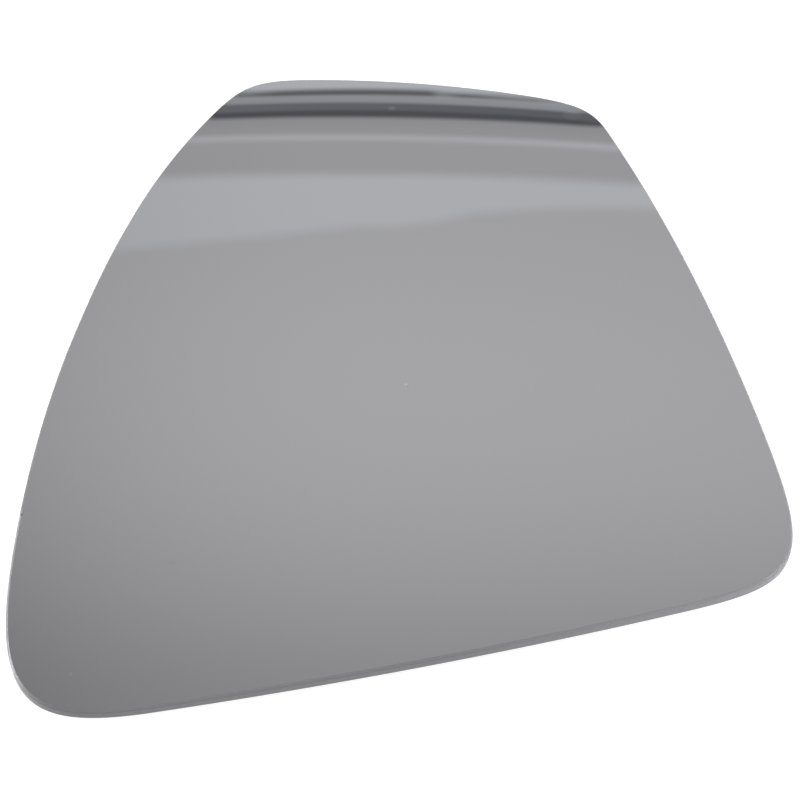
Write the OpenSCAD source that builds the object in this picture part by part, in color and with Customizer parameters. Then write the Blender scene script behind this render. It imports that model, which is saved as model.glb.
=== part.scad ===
// Domed glass of a car door mirror, one piece, lying face up on its rim.
// X runs from the upper edge of the fitted mirror to its lower edge, Y from the inboard end to the
// outboard end, and Z is out of the mirror face. The origin is under the middle of the glass.

/* [Glass] */
// Thickness of the glass
glass_t = 2; // [1.4:0.1:3]
// Radius of the domed mirror face
face_r = 1400; // [900:10:2000]
// Width of the ground arris on both rims
arris = 0.4; // [0.1:0.05:0.6]

/* [Ends and length] */
// Straight width of the inboard end between its sharp corners
inboard_w = 134; // [120:0.1:150]
// Slant of the inboard end, in degrees
inboard_slant = 12.7; // [6:0.1:18]
// Straight width of the outboard end between its sharp corners
outboard_w = 80.4; // [70:0.1:95]
// Slant of the outboard end, in degrees
outboard_slant = -7.5; // [-14:0.1:-2]
// Length from the middle of one end to the middle of the other
glass_l = 157.2; // [140:0.1:180]
// Sideways step of the outboard end against the inboard end
outboard_step = 0.5; // [-8:0.1:8]

/* [Shoulder of the upper side] */
// How far the shoulder lies from the outboard end, along the straight upper side
shoulder_l = 71.1; // [60:0.1:85]
// How far the shoulder stands out from the straight upper side
shoulder_out = 13.1; // [9:0.1:18]

/* [Bow of the sides] */
// Radius of the inboard end
inboard_r = 660; // [300:10:1500]
// Radius of the lower side
lower_r = 680; // [300:10:1500]
// Radius of the outboard end
outboard_r = 211; // [120:1:500]
// Radius of the upper side between the outboard end and the shoulder
upper_outboard_r = 205; // [150:1:500]
// Radius of the upper side between the shoulder and the inboard end
upper_inboard_r = 303; // [200:1:800]

/* [Upper inboard corner] */
// How far the corner reaches along the upper side
upper_inboard_on_side = 38.4; // [26:0.1:50]
// How far the corner reaches along the inboard end
upper_inboard_on_end = 23.8; // [16:0.1:36]
// Fullness of the corner, where 1 is sharp
upper_inboard_full = 0.82; // [0.6:0.01:0.92]

/* [Lower inboard corner] */
// How far the corner reaches along the inboard end
lower_inboard_on_end = 24.4; // [16:0.1:36]
// How far the corner reaches along the lower side
lower_inboard_on_side = 35.5; // [24:0.1:50]
// Fullness of the corner, where 1 is sharp
lower_inboard_full = 0.92; // [0.6:0.01:0.94]

/* [Lower outboard corner] */
// How far the corner reaches along the lower side
lower_outboard_on_side = 10.6; // [8:0.1:24]
// How far the corner reaches along the outboard end
lower_outboard_on_end = 17.4; // [12:0.1:28]
// Fullness of the corner, where 1 is sharp
lower_outboard_full = 0.81; // [0.5:0.01:0.92]

/* [Upper outboard corner] */
// How far the corner reaches along the outboard end
upper_outboard_on_end = 14.3; // [8:0.1:24]
// How far the corner reaches along the upper side
upper_outboard_on_side = 14.7; // [8:0.1:24]
// Fullness of the corner, where 1 is sharp
upper_outboard_full = 0.82; // [0.5:0.01:0.92]

/* [Easing of the shoulder] */
// How far the easing reaches towards the outboard end
shoulder_outboard = 17.4; // [8:0.1:30]
// How far the easing reaches towards the inboard end
shoulder_inboard = 21.7; // [8:0.1:36]
// Fullness of the easing, where 1 is sharp
shoulder_full = 0.77; // [0.5:0.01:0.92]

/* [Hidden] */

// Points along each corner curve and along each side
corner_n = 36;
side_n = 12;
// Steps that settle the crown of the dome over the middle of the outline
settle_n = 600;
// How far the edge form runs on past the two faces, so that its cuts are clean
run_out = 1;
// Facets round the preview of the dome
dome_fn = 256;

// Unit vector at an angle, a vector turned a quarter left, and the angle of a vector
function heading(a) = [cos(a), sin(a)];
function left_of(v) = [-v.y, v.x];
function bearing(v) = atan2(v.y, v.x);

// Sharp corners of the outline, anticlockwise from the upper inboard one
inboard_half = heading(inboard_slant) * inboard_w / 2;
outboard_half = heading(outboard_slant) * outboard_w / 2;
outboard_mid = [outboard_step, glass_l];
upper_outboard = outboard_mid - outboard_half;
upper_line = (-inboard_half - upper_outboard) / norm(-inboard_half - upper_outboard);
shoulder = upper_outboard + shoulder_l * upper_line - shoulder_out * left_of(upper_line);
sharp = [-inboard_half, inboard_half, outboard_mid + outboard_half, upper_outboard, shoulder];
sides = len(sharp);
bow_r = [inboard_r, lower_r, outboard_r, upper_outboard_r, upper_inboard_r];

// Each corner: its reach back along the side before it, its reach on along the next, its fullness
corner = [
    [upper_inboard_on_side, upper_inboard_on_end, upper_inboard_full],
    [lower_inboard_on_end, lower_inboard_on_side, lower_inboard_full],
    [lower_outboard_on_side, lower_outboard_on_end, lower_outboard_full],
    [upper_outboard_on_end, upper_outboard_on_side, upper_outboard_full],
    [shoulder_outboard, shoulder_inboard, shoulder_full],
];

// Centre of the arc of side i, which bows outwards between two sharp corners
function bow_centre(i) =
    let (p = sharp[i], q = sharp[(i + 1) % sides], half = norm(q - p) / 2)
    (p + q) / 2 + left_of(q - p) / (2 * half) * sqrt(bow_r[i] ^ 2 - half ^ 2);
// Bearing from that centre at a reach past the side's start, or short of its end
function from_start(i, reach) = bearing(sharp[i] - bow_centre(i)) + reach / bow_r[i] * 180 / PI;
function from_end(i, reach) =
    let (
        a = bearing(sharp[i] - bow_centre(i)),
        b = bearing(sharp[(i + 1) % sides] - bow_centre(i))
    )
    (b < a ? b + 360 : b) - reach / bow_r[i] * 180 / PI;
function on_bow(i, a) = bow_centre(i) + bow_r[i] * heading(a);

// Where two lines meet, each given by a point and a direction
function meet(p, u, q, v) = p + u * cross(q - p, v) / cross(u, v);
function cubic(p, t) =
    (1 - t) ^ 3 * p[0] + 3 * (1 - t) ^ 2 * t * p[1] + 3 * (1 - t) * t ^ 2 * p[2] + t ^ 3 * p[3];

// Eased curve of corner i, tangent to the side before it and to the side after it
function corner_curve(i) =
    let (
        before = (i + sides - 1) % sides,
        a = from_end(before, corner[i][0]),
        b = from_start(i, corner[i][1]),
        p = on_bow(before, a),
        q = on_bow(i, b),
        tip = meet(p, left_of(heading(a)), q, left_of(heading(b))),
        full = corner[i][2],
        poles = [p, p + full * (tip - p), q + full * (tip - q), q]
    )
    [for (k = [0:corner_n - 1]) cubic(poles, k / corner_n)];
// Plain stretch of side i between its two corner curves
function side_arc(i) =
    let (a = from_start(i, corner[i][1]), b = from_end(i, corner[(i + 1) % sides][0]))
    [for (k = [0:side_n - 1]) on_bow(i, a + (b - a) * k / side_n)];
drawn = [for (i = [0:sides - 1]) each concat(corner_curve(i), side_arc(i))];

// The same outline, brought over the origin, and its outward direction at each point
function low(pts, k) = min([for (p = pts) p[k]]);
function high(pts, k) = max([for (p = pts) p[k]]);
drawn_mid = [for (k = [0, 1]) (low(drawn, k) + high(drawn, k)) / 2];
outline = [for (p = drawn) p - drawn_mid];
count = len(outline);
outward = [
    for (i = [0:count - 1])
    let (along = outline[(i + 1) % count] - outline[(i + count - 1) % count])
    -left_of(along) / norm(along)
];

// The crown lies over the middle of the smallest circle round the outline, so the rim lies level
function farthest(c, i = 0, best = 0) =
    i == count ? best
    : farthest(c, i + 1, norm(outline[i] - c) > norm(outline[best] - c) ? i : best);
function settled(c, k = 1) =
    k > settle_n ? c : settled(c + (outline[farthest(c)] - c) / (k + 1), k + 1);
crown = settled([0, 0]);
rim_reach = norm(outline[farthest(crown)] - crown);

// Depth of the dome's centre below the origin, and the height of either face over a point
dome_depth = sqrt((face_r - glass_t) ^ 2 - (rim_reach - arris) ^ 2);
function face_z(p, r) = sqrt(r ^ 2 - norm(p - crown) ^ 2) - dome_depth;

// Levels of the edge form: the outline drawn in, level or at a height that follows a face
function flat_ring(inset, z) =
    [for (i = [0:count - 1]) concat(outline[i] - inset * outward[i], z)];
function edge_ring(inset, r, rise) =
    [for (i = [0:count - 1]) concat(outline[i] - inset * outward[i], face_z(outline[i], r) + rise)];

module domed_sheet() {
    translate([crown.x, crown.y, -dome_depth])
        difference() {
            sphere(r = face_r, $fn = dome_fn);
            sphere(r = face_r - glass_t, $fn = dome_fn);
        }
}

// Everything inside the ground edge: a wall with an arris at either rim
module edge_form() {
    draw_in = arris + run_out;
    back_r = face_r - glass_t;
    rings = [
        flat_ring(draw_in, -2 * run_out),
        edge_ring(draw_in, back_r, -run_out),
        edge_ring(0, back_r, arris),
        edge_ring(0, face_r, -arris),
        edge_ring(draw_in, face_r, run_out),
        flat_ring(draw_in, face_r - dome_depth + 2 * run_out),
    ];
    levels = len(rings);
    walls = [
        for (j = [0:levels - 2], i = [0:count - 1])
        let (a = j * count + i, b = j * count + (i + 1) % count)
        each [[a, b + count, b], [a, a + count, b + count]]
    ];
    floor_face = [for (i = [0:count - 1]) i];
    roof_face = [for (i = [count - 1:-1:0]) (levels - 1) * count + i];
    polyhedron(
        points = [for (ring = rings) each ring],
        faces = concat(walls, [floor_face, roof_face])
    );
}

module mirror_glass() {
    color("slategray")
        intersection() {
            domed_sheet();
            edge_form();
        }
}

mirror_glass();
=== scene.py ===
"""Domed glass of a car door mirror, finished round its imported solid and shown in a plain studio."""

import logging
import math
from collections.abc import Callable
from dataclasses import dataclass, field
from enum import Enum

import bmesh
import bpy
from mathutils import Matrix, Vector


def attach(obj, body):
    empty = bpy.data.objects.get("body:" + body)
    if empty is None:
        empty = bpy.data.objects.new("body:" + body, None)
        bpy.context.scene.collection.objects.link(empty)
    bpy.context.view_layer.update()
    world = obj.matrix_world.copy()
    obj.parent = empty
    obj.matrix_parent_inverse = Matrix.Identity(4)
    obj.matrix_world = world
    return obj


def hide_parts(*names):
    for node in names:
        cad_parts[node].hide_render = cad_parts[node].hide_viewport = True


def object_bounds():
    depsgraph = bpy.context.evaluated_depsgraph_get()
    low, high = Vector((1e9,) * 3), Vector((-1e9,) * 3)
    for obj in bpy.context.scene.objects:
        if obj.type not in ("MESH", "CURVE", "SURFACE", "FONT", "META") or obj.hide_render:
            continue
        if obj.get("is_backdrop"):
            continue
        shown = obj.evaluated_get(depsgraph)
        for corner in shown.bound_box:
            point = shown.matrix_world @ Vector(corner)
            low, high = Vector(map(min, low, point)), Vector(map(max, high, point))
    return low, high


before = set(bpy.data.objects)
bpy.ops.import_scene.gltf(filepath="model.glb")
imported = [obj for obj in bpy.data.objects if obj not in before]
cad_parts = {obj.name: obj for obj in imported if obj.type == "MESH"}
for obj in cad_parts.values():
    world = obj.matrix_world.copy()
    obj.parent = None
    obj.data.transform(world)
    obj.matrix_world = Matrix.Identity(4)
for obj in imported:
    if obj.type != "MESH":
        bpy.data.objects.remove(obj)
CAD_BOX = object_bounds()

LOG = logging.getLogger("mirror_glass")
NODE = "mirror_glass"
BODY = "root"
MM = 0.001
LEVEL_TOLERANCE = MM / 100

Colour = tuple[float, float, float]


class Side(Enum):
    """Sides of the studio, each with the turn of its wall in degrees."""

    OUTBOARD = 0.0
    UPPER = 90.0
    INBOARD = 180.0
    LOWER = 270.0


class Region(Enum):
    """Regions of the glass that take a finish of their own, in the order of its material slots."""

    FACE = 0
    EDGE = 1
    BACK = 2


class Element(Enum):
    """Kinds of mesh element that are selected in edit mode, as bmesh names them."""

    EDGES = "edges"
    FACES = "faces"


def grey(tone: float) -> Colour:
    """Neutral colour of a tone."""
    return (tone, tone, tone)


class Expr:
    """One output of a shader node, written on with ordinary arithmetic."""

    def __init__(self, graph: "Graph", socket: bpy.types.NodeSocket) -> None:
        """Wrap a socket.

        Args:
            graph: The node tree that the socket belongs to.
            socket: The output that carries the value.
        """
        self.graph = graph
        self.socket = socket

    def _math(self, operation: str, *terms: "Expr | float") -> "Expr":
        """Add a Math node.

        Args:
            operation: The node's operation.
            terms: Its values in order.

        Returns:
            The node's output.
        """
        return self.graph.add("ShaderNodeMath", {"operation": operation}, dict(enumerate(terms)))

    def __add__(self, other: "Expr | float") -> "Expr":
        """Sum of two values."""
        return self._math("ADD", self, other)

    __radd__ = __add__

    def __sub__(self, other: "Expr | float") -> "Expr":
        """This value less another."""
        return self._math("SUBTRACT", self, other)

    def __rsub__(self, other: "Expr | float") -> "Expr":
        """Another value less this one."""
        return self._math("SUBTRACT", other, self)

    def __mul__(self, other: "Expr | float") -> "Expr":
        """Product of two values."""
        return self._math("MULTIPLY", self, other)

    __rmul__ = __mul__

    def __truediv__(self, other: "Expr | float") -> "Expr":
        """This value over another."""
        return self._math("DIVIDE", self, other)

    def floor_at(self, low: float) -> "Expr":
        """This value, or low where that is more."""
        return self._math("MAXIMUM", self, low)

    def cap_at(self, high: float) -> "Expr":
        """This value, or high where that is less."""
        return self._math("MINIMUM", self, high)

    def squared(self) -> "Expr":
        """The square of this value."""
        return self._math("MULTIPLY", self, self)

    def tanh(self) -> "Expr":
        """The hyperbolic tangent of this value."""
        return self._math("TANH", self)

    def rise(self, start: float, end: float) -> "Expr":
        """Smooth step of this value.

        Args:
            start: The value at which the step leaves 0.
            end: The value at which it reaches 1.

        Returns:
            A value from 0 to 1.
        """
        settings = {"interpolation_type": "SMOOTHSTEP"}
        inputs = {"Value": self, "From Min": start, "From Max": end}
        return self.graph.add("ShaderNodeMapRange", settings, inputs)

    def hump(self, middle: float, reach: float) -> "Expr":
        """Smooth hump of this value.

        Args:
            middle: The value at which the hump is 1.
            reach: How far to either side it comes down to 0.

        Returns:
            A value from 0 to 1.
        """
        return 1 - ((self - middle) / reach).squared().rise(0.0, 1.0)


class Graph:
    """The node tree of a material or of the world, filled through one method."""

    def __init__(self, owner: bpy.types.ID) -> None:
        """Empty the tree of a material or world.

        Args:
            owner: The material or world.
        """
        owner.use_nodes = True
        self.tree = owner.node_tree
        self.tree.nodes.clear()

    def add(
        self,
        kind: str,
        settings: dict[str, object] | None = None,
        inputs: dict[str | int, object] | None = None,
        output: str | int = 0,
    ) -> Expr:
        """Add a node, set it, then feed its sockets.

        Args:
            kind: The node's type.
            settings: Its own settings.
            inputs: Values or expressions by the name or number of the socket.
            output: The output that is returned.

        Returns:
            That output as an expression.
        """
        node = self.tree.nodes.new(kind)
        for name, value in (settings or {}).items():
            setattr(node, name, value)
        for key, value in (inputs or {}).items():
            self._feed(node.inputs[key], value)
        return Expr(self, node.outputs[output]) if node.outputs else Expr(self, None)

    def _feed(self, socket: bpy.types.NodeSocket, value: object) -> None:
        """Link an expression to a socket, or set the socket's value.

        Args:
            socket: The input.
            value: An expression, a colour or a plain value.
        """
        if isinstance(value, Expr):
            self.tree.links.new(value.socket, socket)
        elif isinstance(value, tuple) and socket.type == "RGBA":
            socket.default_value = (*value, 1.0)
        else:
            socket.default_value = value

    def point(self) -> Expr:
        """Object coordinates as one vector."""
        return self.add("ShaderNodeTexCoord", output="Object")

    def place(self) -> tuple[Expr, Expr, Expr]:
        """Object coordinates, one expression for each axis."""
        node = self.add("ShaderNodeSeparateXYZ", None, {0: self.point()}).socket.node
        return tuple(Expr(self, output) for output in node.outputs)

    def noise(self, scale: float, detail: float = 2.0) -> Expr:
        """Noise from 0 to 1 over the piece.

        Args:
            scale: Waves to a metre.
            detail: Octaves of finer noise.

        Returns:
            The noise.
        """
        inputs = {"Vector": self.point(), "Scale": scale, "Detail": detail}
        return self.add("ShaderNodeTexNoise", None, inputs)

    def blend(self, share: Expr | float, first: object, second: object) -> Expr:
        """Mix two colours.

        Args:
            share: How much of the second shows, from 0 to 1.
            first: A colour, or an expression.
            second: A colour, or an expression.

        Returns:
            The mixed colour.
        """
        inputs = {0: share, 6: first, 7: second}
        return self.add("ShaderNodeMix", {"data_type": "RGBA"}, inputs, output=2)

    def scaled(self, colour: Colour | Expr, amount: Expr) -> Expr:
        """A colour times an amount."""
        return self.add("ShaderNodeVectorMath", {"operation": "SCALE"}, {0: colour, "Scale": amount})

    def bumped(self, height: Expr, depth: float) -> Expr:
        """Normal of a surface with fine relief.

        Args:
            height: The relief, from 0 to 1.
            depth: Its depth in millimetres.

        Returns:
            The normal.
        """
        inputs = {"Height": height, "Distance": depth * MM, "Strength": 1.0}
        return self.add("ShaderNodeBump", None, inputs)

    def surface(self, shader: Expr) -> None:
        """Join a shader to the material's output."""
        self.add("ShaderNodeOutputMaterial", None, {"Surface": shader})

    def principled(self, inputs: dict[str | int, object]) -> None:
        """Give the material a Principled shader with these inputs."""
        self.surface(self.add("ShaderNodeBsdfPrincipled", None, inputs))

    def glow(self, colour: Expr) -> None:
        """Make the material shine with a colour, at strength 1."""
        self.surface(self.add("ShaderNodeEmission", None, {"Color": colour, "Strength": 1.0}))


@dataclass(frozen=True)
class Mark:
    """A small round mark on the glass, with its place, radius and soft rim in millimetres.

    Its gain is what it multiplies the tone beneath it by.
    """

    x: float
    y: float
    radius: float
    soft: float
    gain: float = 1.0

    def mask(self, x: Expr, y: Expr) -> Expr:
        """Share of the mark at a point.

        Args:
            x: The point's X in metres.
            y: The point's Y in metres.

        Returns:
            1 inside the mark, 0 outside it.
        """
        away = (x - self.x * MM).squared() + (y - self.y * MM).squared()
        inner = max(self.radius - self.soft, 0.0) * MM
        outer = (self.radius + self.soft) * MM
        return 1 - away.rise(inner**2, outer**2)


@dataclass(frozen=True)
class MirrorCoat:
    """Reflecting metal coat of the front face, with its few small marks."""

    tint: Colour = (0.612, 0.612, 0.629)
    roughness: float = 0.015
    marks: tuple[Mark, ...] = (
        Mark(0.06, -18.7, 0.26, 0.16, 1.2),
        Mark(0.36, -19.25, 0.18, 0.12, 0.87),
        Mark(-2.9, 74.1, 0.58, 0.58, 1.36),
        Mark(38.3, 72.2, 1.4, 1.3, 1.2),
        Mark(43.4, 70.2, 2.3, 2.0, 1.12),
        Mark(-52.5, -80.7, 0.22, 0.14, 1.12),
        Mark(-38.8, -59.7, 0.45, 0.35, 0.95),
    )

    def material(self) -> bpy.types.Material:
        """Make the material.

        Returns:
            The finish of the face.
        """
        made = bpy.data.materials.new("mirror_coat")
        graph = Graph(made)
        x, y, _ = graph.place()
        gain = 1.0
        for mark in self.marks:
            gain = gain + mark.mask(x, y) * (mark.gain - 1)
        tint = graph.scaled(self.tint, gain)
        inputs = {"Base Color": tint, "Metallic": 1.0, "Roughness": self.roughness}
        graph.principled(inputs)
        return made


@dataclass(frozen=True)
class GroundEdge:
    """Ground glass of the edge wall and of its two arrises, with sizes in millimetres.

    The arris is painted darker along the upper side, as painted shade. The inboard end is painted
    darker at its upper corner and lighter at its lower one, as painted shade and light. Where the
    edge is lapped, a dark seam runs between wall and arris, and elsewhere the lip beside the face
    is the darker line.
    """

    hue: Colour = (1.005, 1.0, 1.06)
    wall_tone: float = 0.205
    arris_tone: float = 0.19
    # painted shade: a darker arris tone along the upper side, with where it starts and how softly
    arris_shade_tone: float = 0.11
    arris_shade_from: float = -49.0
    arris_shade_soft: float = 2.0
    side_soft: float = 10.0
    inboard_start: float = -60.0
    # painted shade and light: the inboard end is darker at its upper corner and lighter at its lower
    # one
    inboard_end: float = -48.0
    inboard_shaded_gain: float = 0.88
    inboard_lit_gain: float = 1.08
    inboard_reach: float = 62.0
    roughness: float = 0.42
    corner_soft: float = 0.03
    seam_width: float = 0.11
    seam_depth: float = 0.2
    lip_start: float = 0.14
    lip_end: float = 0.06
    lip_depth: float = 0.1
    lapped: Mark = Mark(-22.0, -77.0, 34.0, 14.0)
    grain_scale: float = 2600.0
    grain_detail: float = 3.0
    grain_depth: float = 0.14
    relief: float = 0.02

    def material(self, glass: "GlassSheet") -> bpy.types.Material:
        """Make the material.

        Args:
            glass: The sheet whose edge it dresses.

        Returns:
            The finish of the edge.
        """
        made = bpy.data.materials.new("ground_edge")
        graph = Graph(made)
        x, y, _ = graph.place()
        level = graph.add("ShaderNodeAttribute", {"attribute_name": glass.LEVEL}, output="Fac") / MM
        wall_top = glass.thickness - glass.arris
        arris = level.rise(wall_top - self.corner_soft, wall_top + self.corner_soft)
        seam = level.hump(wall_top, self.seam_width)
        lip = level.rise(glass.thickness - self.lip_start, glass.thickness - self.lip_end)
        lapped = self.lapped.mask(x, y)
        # the arris tone carries a painted shade along the upper side
        tone = self.wall_tone + arris * (self._arris(x, y) - self.wall_tone)
        # painted shade and light along the inboard end
        tone = tone * self._painted_side_light(x, y)
        tone = tone * (1 - seam * lapped * self.seam_depth) * (1 - lip * (1 - lapped) * self.lip_depth)
        grain = graph.noise(self.grain_scale, self.grain_detail)
        colour = graph.scaled(self.hue, tone * (1 + (grain - 0.5) * self.grain_depth))
        inputs = {"Base Color": colour, "Roughness": self.roughness}
        inputs["Normal"] = graph.bumped(grain, self.relief)
        graph.principled(inputs)
        return made

    def _arris(self, x: Expr, y: Expr) -> Expr:
        """Tone of the arris, painted darker along the upper side as painted shade.

        Args:
            x: The point's X in metres.
            y: The point's Y in metres.

        Returns:
            The tone.
        """
        arris_shade = y.rise((self.arris_shade_from - self.arris_shade_soft) * MM, (self.arris_shade_from + self.arris_shade_soft) * MM)
        arris_shade = arris_shade * (1 - x.rise(-self.side_soft * MM, self.side_soft * MM))
        return self.arris_tone + arris_shade * (self.arris_shade_tone - self.arris_tone)

    def _painted_side_light(self, x: Expr, y: Expr) -> Expr:
        """Gain of the inboard end, painted darker at its upper corner and lighter at its lower one, as
        painted shade and light.

        Args:
            x: The point's X in metres.
            y: The point's Y in metres.

        Returns:
            What the tone is multiplied by, which is 1 off that end.
        """
        inboard = 1 - y.rise(self.inboard_start * MM, self.inboard_end * MM)
        lower = x.rise(0.0, self.inboard_reach * MM)
        side_light_gain = self.inboard_shaded_gain + lower * (self.inboard_lit_gain - self.inboard_shaded_gain)
        return 1 + inboard * (side_light_gain - 1)


@dataclass(frozen=True)
class BackCoat:
    """Dark protective paint on the hollow back, with sizes in millimetres."""

    hue: Colour = (1.0, 1.0, 1.04)
    tone: float = 0.035
    tone_drift: float = 0.3
    roughness: float = 0.42
    roughness_drift: float = 0.1
    cloud_scale: float = 60.0
    peel_scale: float = 900.0
    peel: float = 0.03

    def material(self) -> bpy.types.Material:
        """Make the material.

        Returns:
            The finish of the back.
        """
        made = bpy.data.materials.new("back_coat")
        graph = Graph(made)
        drift = graph.noise(self.cloud_scale) - 0.5
        colour = graph.scaled(self.hue, self.tone * (1 + drift * self.tone_drift))
        inputs = {"Base Color": colour, "Roughness": self.roughness + drift * self.roughness_drift}
        inputs["Normal"] = graph.bumped(graph.noise(self.peel_scale), self.peel)
        graph.principled(inputs)
        return made


@dataclass(frozen=True)
class FreshBreak:
    """Shell-shaped break of a small chip, dark where the coat is gone."""

    tone: float = 0.15
    tone_drift: float = 0.2
    roughness: float = 0.3
    ripple_scale: float = 7000.0

    def material(self) -> bpy.types.Material:
        """Make the material.

        Returns:
            The finish of the chip.
        """
        made = bpy.data.materials.new("fresh_break")
        graph = Graph(made)
        drift = graph.noise(self.ripple_scale) - 0.5
        colour = graph.scaled(grey(self.tone), 1 + drift * self.tone_drift)
        inputs = {"Base Color": colour, "Roughness": self.roughness}
        graph.principled(inputs)
        return made


@dataclass(frozen=True)
class Corner:
    """An eased corner between two bowed sides.

    Back and on are how far from the sharp corner it starts and ends along the sides, in
    millimetres. Full is how near its handles come to the sharp corner, as a share.
    """

    back: float
    on: float
    full: float


@dataclass(frozen=True)
class Knot:
    """A knot of the outline curve, with its two handles."""

    before: Vector
    at: Vector
    after: Vector


def heading(angle: float) -> Vector:
    """Unit vector at an angle in radians."""
    return Vector((math.cos(angle), math.sin(angle)))


def left_of(v: Vector) -> Vector:
    """A plane vector turned a quarter to the left."""
    return Vector((-v.y, v.x))


def bearing(v: Vector) -> float:
    """Angle of a plane vector in radians."""
    return math.atan2(v.y, v.x)


def arc_handle(radius: float, sweep: float) -> float:
    """Length of the handles with which one cubic span follows an arc of a sweep in radians."""
    return 4 / 3 * math.tan(sweep / 4) * radius


@dataclass(frozen=True)
class Outline:
    """Plan outline of the glass, in millimetres and degrees: five bowed sides and five corners."""

    inboard_w: float = 134.0
    inboard_slant: float = 12.7
    outboard_w: float = 80.4
    outboard_slant: float = -7.5
    glass_l: float = 157.2
    outboard_step: float = 0.5
    shoulder_l: float = 71.1
    shoulder_out: float = 13.1
    inboard_r: float = 660.0
    lower_r: float = 680.0
    outboard_r: float = 211.0
    upper_outboard_r: float = 205.0
    upper_inboard_r: float = 303.0
    upper_inboard: Corner = Corner(38.4, 23.8, 0.82)
    lower_inboard: Corner = Corner(24.4, 35.5, 0.92)
    lower_outboard: Corner = Corner(10.6, 17.4, 0.81)
    upper_outboard: Corner = Corner(14.3, 14.7, 0.82)
    shoulder: Corner = Corner(17.4, 21.7, 0.77)

    def sharp(self) -> list[Vector]:
        """Sharp corners, anticlockwise from the upper inboard one.

        Returns:
            Five points, in millimetres.
        """
        inboard_half = heading(math.radians(self.inboard_slant)) * self.inboard_w / 2
        outboard_half = heading(math.radians(self.outboard_slant)) * self.outboard_w / 2
        outboard_mid = Vector((self.outboard_step, self.glass_l))
        upper_outboard = outboard_mid - outboard_half
        upper_line = (-inboard_half - upper_outboard).normalized()
        shoulder = upper_outboard + self.shoulder_l * upper_line
        shoulder -= self.shoulder_out * left_of(upper_line)
        return [-inboard_half, inboard_half, outboard_mid + outboard_half, upper_outboard, shoulder]

    def knots(self) -> list[Knot]:
        """Knots of the closed outline, two to a corner.

        Returns:
            Ten knots, in millimetres.
        """
        points = self.sharp()
        count = len(points)
        radii = [self.inboard_r, self.lower_r, self.outboard_r]
        radii += [self.upper_outboard_r, self.upper_inboard_r]
        corners = [self.upper_inboard, self.lower_inboard, self.lower_outboard, self.upper_outboard]
        corners.append(self.shoulder)
        arcs = []
        for i, radius in enumerate(radii):
            p, q = points[i], points[(i + 1) % count]
            half = (q - p).length / 2
            centre = (p + q) / 2 + left_of(q - p) / (2 * half) * math.sqrt(radius**2 - half**2)
            start = bearing(p - centre)
            end = start + 2 * math.asin(half / radius)
            start += corners[i].on / radius
            end -= corners[(i + 1) % count].back / radius
            arcs.append((centre, radius, start, end))
        knots = []
        for i, corner in enumerate(corners):
            centre_a, radius_a, start_a, end_a = arcs[i - 1]
            centre_b, radius_b, start_b, end_b = arcs[i]
            p = centre_a + radius_a * heading(end_a)
            q = centre_b + radius_b * heading(start_b)
            along_a, along_b = left_of(heading(end_a)), left_of(heading(start_b))
            tip = p + along_a * ((q - p).cross(along_b) / along_a.cross(along_b))
            reach_a = arc_handle(radius_a, end_a - start_a)
            reach_b = arc_handle(radius_b, end_b - start_b)
            knots.append(Knot(p - along_a * reach_a, p, p + (tip - p) * corner.full))
            knots.append(Knot(q + (tip - q) * corner.full, q, q + along_b * reach_b))
        return knots


class Shop:
    """Small operators that every piece is made with."""

    @staticmethod
    def clear() -> None:
        """Leave edit mode and deselect every object."""
        if bpy.context.object and bpy.context.object.mode != "OBJECT":
            bpy.ops.object.mode_set(mode="OBJECT")
        bpy.ops.object.select_all(action="DESELECT")

    @staticmethod
    def pick(obj: bpy.types.Object) -> None:
        """Make one object the only selected and the active one.

        Args:
            obj: The object.
        """
        Shop.clear()
        obj.select_set(True)
        bpy.context.view_layer.objects.active = obj

    @staticmethod
    def select(obj: bpy.types.Object, kind: Element, test: Callable[[object], bool]) -> None:
        """Select the edges or faces of the mesh in edit mode that pass a test.

        Args:
            obj: The object in edit mode.
            kind: Which of them are tested.
            test: Says of an edge or face whether it is wanted.
        """
        mesh = bmesh.from_edit_mesh(obj.data)
        bpy.ops.mesh.select_all(action="DESELECT")
        for element in getattr(mesh, kind.value):
            if test(element):
                element.select = True
        bmesh.update_edit_mesh(obj.data)


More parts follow.
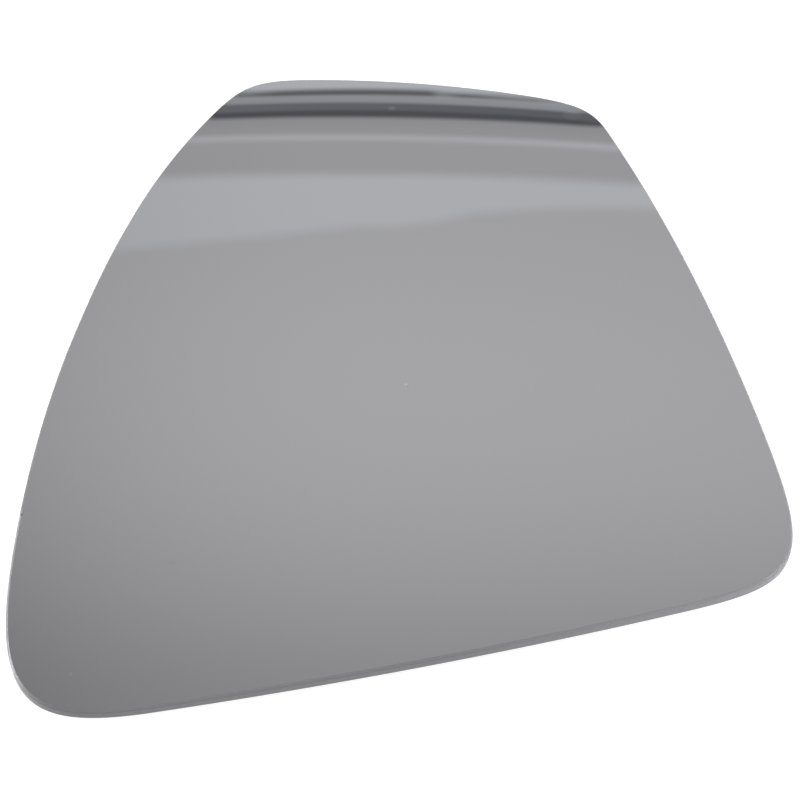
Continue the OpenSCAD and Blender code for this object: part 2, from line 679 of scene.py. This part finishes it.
@dataclass
class GlassSheet:
    """The sheet of mirror glass, cut flat, ground at its edge and slumped to a dome.

    Its sizes are in millimetres. The object, the crown and the depth of the dome's centre, the
    last two in metres, are found as it is built.
    """

    outline: Outline = field(default_factory=Outline)
    thickness: float = 2.0
    face_radius: float = 1400.0
    arris: float = 0.4
    points_to_span: int = 48
    front_rings: int = 44
    back_rings: int = 22
    settle_steps: int = 600
    chip_at: tuple[float, float] = (-65.8, -49.1)
    chip_radius: float = 0.25
    chip_subdivisions: int = 3
    crisp_angle: float = 15.0
    obj: bpy.types.Object | None = None
    crown: Vector | None = None
    depth: float = 0.0

    LEVEL = "level"

    def build(self) -> bpy.types.Object:
        """Make the glass in the order of the real work: cut, grind, lay out, slump, chip.

        Returns:
            The finished glass.
        """
        self._cut()
        self._thicken()
        self._grind()
        self._lay_rings(self.thickness * MM, self.front_rings)
        self._lay_rings(0.0, self.back_rings)
        self._slump()
        self._dress()
        self._chip()
        self._smooth()
        return self.obj

    def _cut(self) -> None:
        """Draw the outline as a closed curve and make it a flat sheet."""
        knots = self.outline.knots()
        Shop.clear()
        bpy.ops.curve.primitive_bezier_circle_add(radius=self.outline.glass_l * MM / 2)
        curve = bpy.context.object
        curve.name = "domed_glass"
        curve.data.dimensions = "2D"
        curve.data.fill_mode = "NONE"
        curve.data.resolution_u = self.points_to_span
        spline = curve.data.splines[0]
        spline.bezier_points.add(len(knots) - len(spline.bezier_points))
        for point, knot in zip(spline.bezier_points, knots):
            point.handle_left_type = point.handle_right_type = "FREE"
            point.co = (*(knot.at * MM), 0.0)
            point.handle_left = (*(knot.before * MM), 0.0)
            point.handle_right = (*(knot.after * MM), 0.0)
        bpy.ops.object.convert(target="MESH")
        self.obj = bpy.context.object
        self.obj.data.name = "domed_glass"
        points = [v.co for v in self.obj.data.vertices]
        low = Vector((min(p.x for p in points), min(p.y for p in points), 0.0))
        high = Vector((max(p.x for p in points), max(p.y for p in points), 0.0))
        Shop.pick(self.obj)
        bpy.ops.object.mode_set(mode="EDIT")
        bpy.ops.mesh.select_all(action="SELECT")
        bpy.ops.transform.translate(value=-(low + high) / 2)
        bpy.ops.mesh.edge_face_add()
        bpy.ops.object.mode_set(mode="OBJECT")
        self._find_crown()

    def _find_crown(self) -> None:
        """Settle the crown over the middle of the smallest circle round the outline."""
        points = [v.co.xy.copy() for v in self.obj.data.vertices]
        crown = Vector((0.0, 0.0))
        # Each step moves the middle towards the farthest point, by less than the one before.
        for step in range(1, self.settle_steps + 1):
            far = max(points, key=lambda p: (p - crown).length_squared)
            crown += (far - crown) / (step + 1)
        reach = max((p - crown).length for p in points)
        back_radius = (self.face_radius - self.thickness) * MM
        self.crown = crown
        self.depth = math.sqrt(back_radius**2 - (reach - self.arris * MM) ** 2)
        LOG.info("crown at %.2f, %.2f mm, reach %.2f mm", crown.x / MM, crown.y / MM, reach / MM)

    def _thicken(self) -> None:
        """Extrude the sheet to its thickness."""
        Shop.pick(self.obj)
        bpy.ops.object.mode_set(mode="EDIT")
        bpy.ops.mesh.select_all(action="SELECT")
        move = {"value": (0.0, 0.0, self.thickness * MM)}
        bpy.ops.mesh.extrude_region_move(TRANSFORM_OT_translate=move)
        bpy.ops.mesh.select_all(action="SELECT")
        bpy.ops.mesh.normals_make_consistent(inside=False)

    def _grind(self) -> None:
        """Grind an arris along both rims."""

        def is_rim(edge: bmesh.types.BMEdge) -> bool:
            """Whether an edge bounds one of the two flat faces."""
            return any(self._is_flat(face) for face in edge.link_faces)

        Shop.select(self.obj, Element.EDGES, is_rim)
        bpy.ops.mesh.bevel(offset=self.arris * MM, offset_type="OFFSET", segments=1, affect="EDGES")

    @staticmethod
    def _is_flat(face: bmesh.types.BMFace) -> bool:
        """Whether a mesh face is a whole flat face of the sheet, as all others have four corners."""
        return len(face.verts) > 4

    def _lay_rings(self, height: float, rings: int) -> None:
        """Draw a flat face in towards the crown, ring by ring.

        Args:
            height: Where the face lies, in metres.
            rings: How many rings it gets.
        """
        crown = (*self.crown, height)

        def is_face(face: bmesh.types.BMFace) -> bool:
            """Whether a mesh face is the whole flat face at the height."""
            away = abs(face.calc_center_median().z - height)
            return self._is_flat(face) and away < LEVEL_TOLERANCE

        Shop.select(self.obj, Element.FACES, is_face)
        share = 1.0
        for ring in range(1, rings):
            goal = 1 - ring / rings
            bpy.ops.mesh.extrude_region_move()
            size = (goal / share, goal / share, 1.0)
            bpy.ops.transform.resize(value=size, center_override=crown)
            share = goal
        bpy.ops.mesh.merge(type="CENTER")

    def _slump(self) -> None:
        """Bend the flat sheet to the dome, which no operator does to the accuracy of a mirror."""
        bpy.ops.object.mode_set(mode="OBJECT")
        mesh = self.obj.data
        level = mesh.attributes.new(self.LEVEL, "FLOAT", "POINT")
        back_radius = (self.face_radius - self.thickness) * MM
        for vertex, stored in zip(mesh.vertices, level.data):
            stored.value = vertex.co.z
            radius = back_radius + vertex.co.z
            away = (vertex.co.xy - self.crown).length_squared
            vertex.co.z = math.sqrt(radius**2 - away) - self.depth
        mesh.update()

    def _dress(self) -> None:
        """Give each region its finish."""
        mesh = self.obj.data
        mesh.materials.clear()
        mesh.materials.append(MirrorCoat().material())
        mesh.materials.append(GroundEdge().material(self))
        mesh.materials.append(BackCoat().material())
        level = mesh.attributes[self.LEVEL].data
        top = self.thickness * MM
        for face in mesh.polygons:
            levels = [level[v].value for v in face.vertices]
            if min(levels) > top - LEVEL_TOLERANCE:
                face.material_index = Region.FACE.value
            elif max(levels) < LEVEL_TOLERANCE:
                face.material_index = Region.BACK.value
            else:
                face.material_index = Region.EDGE.value

    def _chip(self) -> None:
        """Take a small shell out of the front rim."""
        at = Vector(self.chip_at) * MM
        top = self.thickness * MM
        mesh = self.obj.data
        levels = [stored.value for stored in mesh.attributes[self.LEVEL].data]
        face = [v.co for v, level in zip(mesh.vertices, levels) if top - level < LEVEL_TOLERANCE]
        near = min(face, key=lambda p: (p.xy - at).length_squared).copy()
        Shop.clear()
        size = {"subdivisions": self.chip_subdivisions, "radius": self.chip_radius * MM}
        bpy.ops.mesh.primitive_ico_sphere_add(location=near, **size)
        cutter = bpy.context.object
        cutter.data.materials.append(FreshBreak().material())
        Shop.pick(self.obj)
        modifier = self.obj.modifiers.new("chip", "BOOLEAN")
        modifier.operation = "DIFFERENCE"
        modifier.solver = "EXACT"
        modifier.material_mode = "TRANSFER"
        modifier.object = cutter
        bpy.ops.object.modifier_apply(modifier=modifier.name)
        bpy.data.objects.remove(cutter)

    def _smooth(self) -> None:
        """Shade the faces smooth and keep the ground rims crisp."""
        Shop.pick(self.obj)
        bpy.ops.object.shade_smooth_by_angle(angle=math.radians(self.crisp_angle))


@dataclass(frozen=True)
class Step:
    """A line along a studio wall above which it takes another colour, in metres.

    Tilt and bow bend the line, red and blue are the cast of its tone against green, and lean is
    how much the tone falls with each metre to the right.
    """

    height: float
    soft: float
    tone: float
    tilt: float = 0.0
    bow: float = 0.0
    red: float = 1.0
    blue: float = 1.0
    lean: float = 0.0

    def colour(self) -> Colour:
        """Colour above the line, at the wall's middle."""
        return (self.tone * self.red, self.tone, self.tone * self.blue)

    def colour_at(self, graph: Graph, across: Expr) -> Colour | Expr:
        """Colour above the line.

        Args:
            graph: The node tree of the wall.
            across: The point's distance to the right of the wall's middle.

        Returns:
            The same colour all along, or one that changes across the wall.
        """
        if not self.lean:
            return self.colour()
        return graph.scaled(self.colour(), 1 - across * self.lean)

    def passed(self, across: Expr, height: Expr) -> Expr:
        """Share of the step that a point has passed.

        Args:
            across: The point's distance to the right of the wall's middle.
            height: Its height.

        Returns:
            0 below the line, 1 above it.
        """
        level = height - across * self.tilt - across.squared() * self.bow
        return level.rise(self.height - self.soft, self.height + self.soft)


@dataclass(frozen=True)
class Fade:
    """A stretch across a studio wall, in metres, over which a line grows fainter.

    A share below 0 gives back what another stretch takes.
    """

    start: float
    end: float
    share: float

    def at(self, across: Expr) -> Expr:
        """Share of the line that is lost at a point."""
        return across.rise(self.start, self.end) * self.share


@dataclass(frozen=True)
class Fall:
    """How a wall darkens to one side: a share for each square metre, which changes with height."""

    share: float
    by_height: float
    most: float

    def at(self, away: Expr, height: Expr) -> Expr:
        """Share of the light that is lost at a point."""
        return ((self.share + height * self.by_height) * away.squared()).cap_at(self.most)


@dataclass(frozen=True)
class Slope:
    """A stretch of height on a studio wall, in metres, over which it comes to another tone."""

    start: float
    end: float
    tone: float


@dataclass(frozen=True)
class BandedWall:
    """Finish of a studio wall that only reflections see: a panel, a rail, and slow tones above them.

    Its sizes are in metres. Towards the wall's ends, all its lines come level, so that they meet
    those of the next wall.
    """

    bend_reach: float = 0.8
    even_start: float = 1.85
    even_end: float = 2.45
    foot: Step = Step(0.0, 0.01, 0.662, red=0.975, blue=1.03)
    sill: Step = Step(1.2175, 0.011, 0.418, 0.0104, 0.0136, red=0.98, blue=1.05)
    rail: Step = Step(1.1872, 0.014, 0.17, 0.0164, 0.0416, blue=1.05)
    rail_top: Step = Step(1.2155, 0.012, 0.0, 0.0104, 0.0136)
    rail_slim: Fade = Fade(0.03, 0.12, 0.006)
    rail_fades: tuple[Fade, ...] = (
        Fade(-0.31, -0.42, 0.2),
        Fade(0.03, 0.3, 0.31),
        Fade(0.04, 0.078, 0.28),
        Fade(0.068, 0.14, -0.35),
        Fade(0.3, 0.37, 0.2),
    )
    steps: tuple[Step, ...] = (
        Step(1.2442, 0.009, 0.186, 0.012, -0.006, red=0.98, blue=1.09, lean=0.25),
        Step(1.2758, 0.009, 0.118, 0.009, -0.003, red=0.99, blue=1.06),
        Step(1.3058, 0.0125, 0.424, 0.005, -0.035, blue=1.015),
        Step(1.336, 0.024, 0.456, 0.005, -0.04, blue=1.015),
        Step(1.3812, 0.0195, 0.646, 0.002, -0.046, red=1.01, blue=1.045),
        Step(1.3999, 0.0195, 0.501, 0.005, -0.037),
        Step(1.5495, 0.034, 0.6705, -0.006, -0.049, red=0.99, blue=1.025),
    )
    border: float = 1.728
    border_drop: float = 0.1273
    border_middle: float = 0.1045
    border_width: float = 0.565
    border_soft: float = 0.037
    swell: float = 0.0195
    swell_middle: float = 0.024
    swell_reach: float = 0.166
    upper_tone: float = 0.546
    slopes: tuple[Slope, ...] = (Slope(1.2, 2.5, 0.613), Slope(2.6, 5.4, 0.392))
    left_fall: Fall = Fall(0.189, -0.0233, 0.4)
    right_fall: Fall = Fall(0.016, 0.0043, 0.2)

    def material(self, name: str) -> bpy.types.Material:
        """Make the material.

        Args:
            name: The wall's name.

        Returns:
            The finish of the wall.
        """
        made = bpy.data.materials.new(name)
        graph = Graph(made)
        across, height, _ = graph.place()
        middle = 1 - across.squared().rise(self.even_start**2, self.even_end**2)
        bend = across.floor_at(-self.bend_reach).cap_at(self.bend_reach) * middle
        colour = graph.blend(self.sill.passed(bend, height), self.foot.colour(), self.sill.colour())
        rail = self._rail(across, bend, height, middle)
        colour = graph.blend(rail, colour, self.rail.colour())
        for step in self.steps:
            colour = graph.blend(step.passed(bend, height), colour, step.colour_at(graph, bend))
        above = self._above(across, height, middle)
        colour = graph.blend(above, colour, self._upper(graph, height))
        left = self.left_fall.at(across.cap_at(0.0), height)
        right = self.right_fall.at(across.floor_at(0.0), height)
        colour = graph.scaled(colour, 1 - (left + right) * middle)
        graph.glow(colour)
        return made

    def _rail(self, across: Expr, bend: Expr, height: Expr, middle: Expr) -> Expr:
        """Share of the dark rail at a point.

        Args:
            across: The point's distance to the right of the wall's middle.
            bend: The same, held to the stretch over which the lines bend.
            height: Its height.
            middle: 1 over most of the wall, 0 at its ends.

        Returns:
            1 on the rail, less where it fades, and 0 off it.
        """
        faded = 0.0
        for fade in self.rail_fades:
            faded = faded + fade.at(across)
        rail = self.rail.passed(bend, height - self.rail_slim.at(across) * middle)
        return rail * (1 - self.rail_top.passed(bend, height)) * (1 - faded * middle)

    def _above(self, across: Expr, height: Expr, middle: Expr) -> Expr:
        """Share of the wall's upper part at a point, whose border comes down to the right.

        Args:
            across: The point's distance to the right of the wall's middle.
            height: Its height.
            middle: 1 over most of the wall, 0 at its ends.

        Returns:
            0 below the border, 1 above it.
        """
        drop = ((across - self.border_middle) / self.border_width).tanh() * self.border_drop
        drop = drop - across.hump(self.swell_middle, self.swell_reach) * self.swell
        return (height - self.border + drop * middle).rise(-self.border_soft, self.border_soft)

    def _upper(self, graph: Graph, height: Expr) -> Colour | Expr:
        """Colour of the wall's upper part, which brightens slowly and then darkens.

        Args:
            graph: The node tree of the wall.
            height: The point's height.

        Returns:
            The colour.
        """
        colour = grey(self.upper_tone)
        for slope in self.slopes:
            colour = graph.blend(height.rise(slope.start, slope.end), colour, grey(slope.tone))
        return colour


@dataclass(frozen=True)
class Lamp:
    """A soft square lamp low beside the glass, in metres, degrees and watts."""

    name: str
    azimuth: float
    power: float
    size: float
    glints: bool
    elevation: float
    distance: float = 1.0

    def stand(self) -> None:
        """Set the lamp up, turned to the glass; azimuth runs from +Y towards +X."""
        turn = math.radians(self.azimuth)
        lift = math.tan(math.radians(self.elevation))
        away = Vector((math.sin(turn), math.cos(turn), lift)) * self.distance
        Shop.clear()
        bpy.ops.object.light_add(type="AREA", location=away)
        lamp = bpy.context.object
        lamp.name = self.name
        lamp.rotation_euler = away.to_track_quat("Z", "Y").to_euler()
        lamp.data.shape = "SQUARE"
        lamp.data.size = self.size
        lamp.data.energy = self.power
        lamp.visible_glossy = self.glints


@dataclass(frozen=True)
class PhotoCamera:
    """Camera at the photograph's viewing angle: metres, degrees, and millimetres for the lens."""

    place: tuple[float, float, float] = (-0.001030, -0.215122, 0.197412)
    tilt: float = 45.0
    lens: float = 67.0
    sensor: float = 36.0
    near: float = 0.01
    far: float = 100.0

    def stand(self) -> None:
        """Set the camera up and make it the scene's."""
        Shop.clear()
        turn = (math.radians(self.tilt), 0.0, 0.0)
        bpy.ops.object.camera_add(location=self.place, rotation=turn)
        camera = bpy.context.object
        camera.name = "photo_camera"
        camera.data.lens = self.lens
        camera.data.sensor_width = self.sensor
        camera.data.clip_start = self.near
        camera.data.clip_end = self.far
        bpy.context.scene.camera = camera


@dataclass(frozen=True)
class Studio:
    """Pale floor, walls and ceiling that only the mirror sees, low side lamps and the camera.

    Its sizes are in metres, and the turn of its walls is in degrees.
    """

    wall: BandedWall = field(default_factory=BandedWall)
    camera: PhotoCamera = field(default_factory=PhotoCamera)
    wall_distance: float = 2.5
    wall_turn: float = 0.95
    room_height: float = 6.0
    ceiling_tone: float = 0.392
    panel_tone: float = 0.75
    panel_inner: float = 0.2
    panel_outer: float = 1.8
    floor_size: float = 8.0
    floor_tone: float = 0.35
    floor_glow: float = 0.8
    lamps: tuple[Lamp, ...] = (
        Lamp("left_lamp", -72.0, 9.0, 0.16, False, 6.0),
        Lamp("left_glint", -86.0, 3.6, 0.12, True, 6.0),
        Lamp("right_lamp", 98.0, 8.8, 0.16, False, 13.0),
    )

    def build(self) -> None:
        """Set up floor, walls, ceiling, light and camera."""
        self._world()
        self._floor()
        self._ceiling()
        for side in Side:
            self._wall(side)
        for lamp in self.lamps:
            lamp.stand()
        self.camera.stand()

    @staticmethod
    def _world() -> None:
        """White surroundings at strength 1, the same to every ray."""
        world = bpy.data.worlds.new("white_room")
        bpy.context.scene.world = world
        graph = Graph(world)
        white = graph.add("ShaderNodeBackground", None, {"Color": grey(1.0), "Strength": 1.0})
        graph.add("ShaderNodeOutputWorld", None, {"Surface": white})

    def _floor(self) -> None:
        """Lay the pale floor, white to the eye and in reflections, with the shadow left on it."""
        Shop.clear()
        bpy.ops.mesh.primitive_plane_add(size=self.floor_size)
        floor = bpy.context.object
        floor.name = "floor"
        made = bpy.data.materials.new("pale_floor")
        graph = Graph(made)
        matt = graph.add("ShaderNodeBsdfDiffuse", None, {"Color": grey(self.floor_tone)})
        rays = graph.add("ShaderNodeLightPath").socket.node.outputs
        seen = Expr(graph, rays["Is Camera Ray"]) + Expr(graph, rays["Is Glossy Ray"])
        seen = (seen + Expr(graph, rays["Is Transmission Ray"])).cap_at(1.0)
        glow = graph.add("ShaderNodeEmission", None, {"Strength": seen * self.floor_glow})
        graph.surface(graph.add("ShaderNodeAddShader", None, {0: matt, 1: glow}))
        floor.data.materials.append(made)
        floor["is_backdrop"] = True

    def _ceiling(self) -> None:
        """Hang the ceiling, with a soft bright patch over the glass, seen by reflections alone."""
        Shop.clear()
        overhead = (0.0, 0.0, self.room_height)
        bpy.ops.mesh.primitive_plane_add(size=2 * self.room_height, location=overhead)
        ceiling = bpy.context.object
        ceiling.name = "ceiling"
        made = bpy.data.materials.new("ceiling")
        graph = Graph(made)
        x, y, _ = graph.place()
        patch = 1 - (x.squared() + y.squared()).rise(self.panel_inner**2, self.panel_outer**2)
        colour = graph.blend(patch, grey(self.ceiling_tone), grey(self.panel_tone))
        graph.glow(colour)
        ceiling.data.materials.append(made)
        self._reflect_only(ceiling)

    def _wall(self, side: Side) -> None:
        """Stand a wall, seen by reflections alone.

        Args:
            side: The side on which it stands.
        """
        turn = math.radians(side.value - self.wall_turn)
        out = Vector((-math.sin(turn), math.cos(turn), 0.0)) * self.wall_distance
        upright = (math.radians(90.0), 0.0, turn)
        Shop.clear()
        bpy.ops.mesh.primitive_plane_add(size=2 * self.room_height, location=out, rotation=upright)
        wall = bpy.context.object
        wall.name = f"{side.name.lower()}_wall"
        wall.data.materials.append(self.wall.material(wall.name))
        self._reflect_only(wall)

    @staticmethod
    def _reflect_only(screen: bpy.types.Object) -> None:
        """Hide a screen from all but glossy rays, and keep it off the object.

        Args:
            screen: The wall or ceiling.
        """
        screen.visible_camera = False
        screen.visible_diffuse = False
        screen.visible_shadow = False
        screen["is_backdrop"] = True


def report(obj: bpy.types.Object) -> None:
    """Log the size of a finished piece.

    Args:
        obj: The piece.
    """
    size = obj.dimensions / MM
    LOG.info("%s: %.1f x %.1f x %.2f mm, %d faces", obj.name, *size, len(obj.data.polygons))


def main() -> None:
    """Build the studio and the glass, hang it on the frame and work out both boxes."""
    logging.basicConfig(level=logging.INFO, format="%(name)s: %(message)s")
    bpy.context.scene.view_settings.view_transform = "Standard"
    Studio().build()
    sheet = GlassSheet()
    glass = sheet.build()
    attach(glass, BODY)
    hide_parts(NODE)
    report(glass)
    boxes = {"cad": CAD_BOX, "visual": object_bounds()}
    boxes = {name: [list(corner) for corner in box] for name, box in boxes.items()}


if __name__ == "__main__":
    main()
